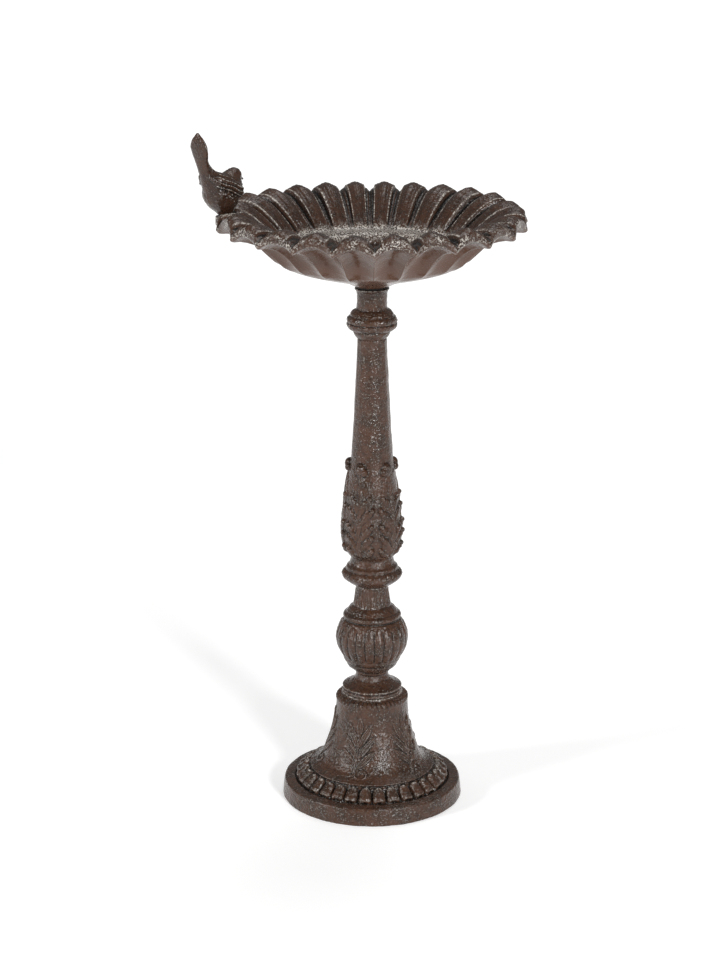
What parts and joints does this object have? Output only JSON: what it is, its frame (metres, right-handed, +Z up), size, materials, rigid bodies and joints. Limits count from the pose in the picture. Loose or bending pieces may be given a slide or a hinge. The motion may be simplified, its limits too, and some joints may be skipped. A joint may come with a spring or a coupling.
{
  "type": "bird bath",
  "caption": "Free-standing cast iron bird bath: bell foot, baluster and leaf column, capital, ruffled petal bowl and a perched bird.",
  "frame": {"origin": "centre of the foot's underside, on the column's axis", "axes": "+Z up the column, +X to the right as seen from the front, the bird stands on the -X side of the rim, -Y is the front"},
  "size_m": [0.3069, 0.289, 0.651],
  "materials": {
    "dark_iron": "grainy antique brown cast iron with a semi-gloss coat and pale worn edges",
    "bowl_iron": "smoother antique brown cast iron with pale dry-brushed edges",
    "zinc_steel": "dulled zinc plate",
    "black_rubber": "matt black rubber"
  },
  "bodies": {
    "pedestal": {"base_bell": "dark_iron", "baluster_knop": "dark_iron", "column_shaft": "dark_iron", "column_capital": "dark_iron", "tie_rod": "zinc_steel", "base_washer": "zinc_steel", "base_spring_washer": "zinc_steel", "base_nut": "zinc_steel", "column_washer": "zinc_steel", "column_nut": "zinc_steel", "bowl_gasket": "black_rubber", "bowl_seal": "black_rubber", "bowl_washer": "zinc_steel", "bowl_cap_nut": "zinc_steel"},
    "bowl": {"bowl": "bowl_iron"},
    "bird": {"bird": "bowl_iron", "bird_washer": "zinc_steel", "bird_screw": "zinc_steel"}
  },
  "joints": [
    {"name": "bowl_turn", "type": "hinge", "parent": "pedestal", "child": "bowl", "pos_m": [0, 0, 0.5055], "axis": [0, 0, 1], "continuous": true},
    {"name": "bird_turn", "type": "hinge", "parent": "bowl", "child": "bird", "pos_m": [-0.13496, 0, 0.57098], "axis": [0, 0, 1], "continuous": true}
  ]
}
